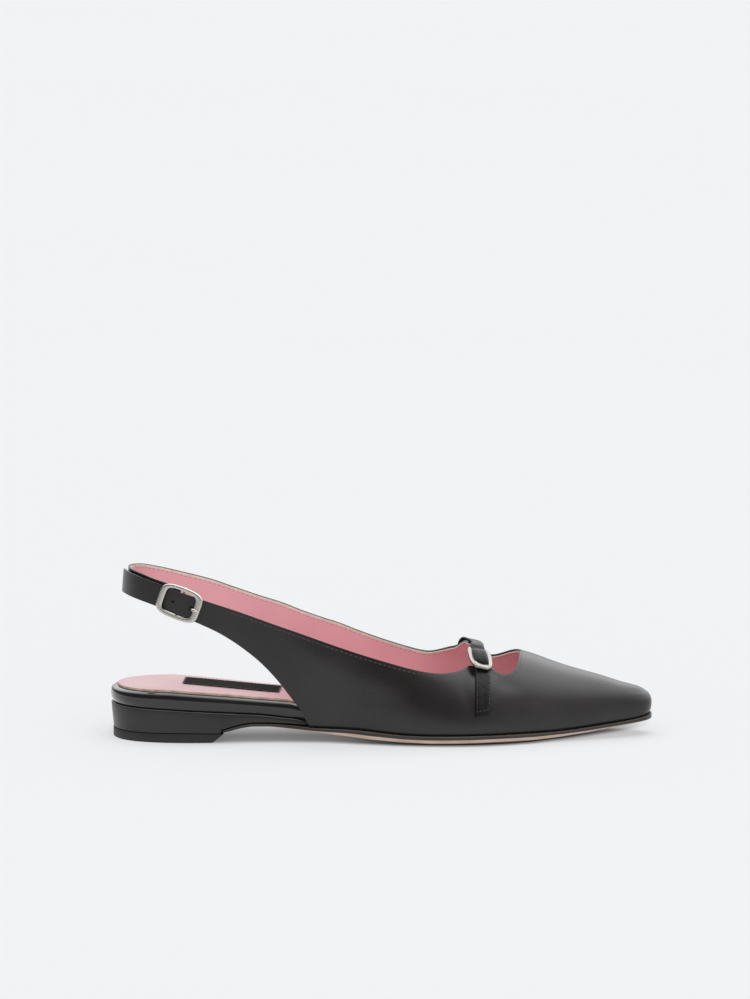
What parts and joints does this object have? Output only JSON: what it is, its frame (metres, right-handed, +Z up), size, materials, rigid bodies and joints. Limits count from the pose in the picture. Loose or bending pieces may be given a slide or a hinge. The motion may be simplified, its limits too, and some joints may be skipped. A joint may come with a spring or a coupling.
{
  "type": "slingback shoe",
  "caption": "Low-heeled slingback shoe with a soft square toe, an instep strap with a small buckle and a buckled strap round the heel.",
  "frame": {"origin": "on the floor under the middle of the shoe's box", "axes": "+X from heel to toe, -Y to the lateral side, +Z up"},
  "size_m": [0.2598, 0.0767, 0.082],
  "materials": {
    "sole": "sanded tan leather, dark painted edge",
    "heel": "black glossy leather",
    "lift": "black matte rubber",
    "rim": "black patent leather",
    "sock": "pale pink smooth leather",
    "upper": "smooth black leather with a soft gloss, pink lining",
    "strap": "black leather with a shiny crinkle",
    "buckle": "polished nickel"
  },
  "bodies": {
    "root": {"outsole": "sole", "heel_block": "heel", "top_lift": "lift", "insole_rim": "rim", "insole_sock": "sock", "upper": "upper", "instep_strap": "strap", "heel_buckle": "buckle", "heel_buckle_prong": "buckle", "instep_buckle": "buckle"}
  },
  "joints": []
}
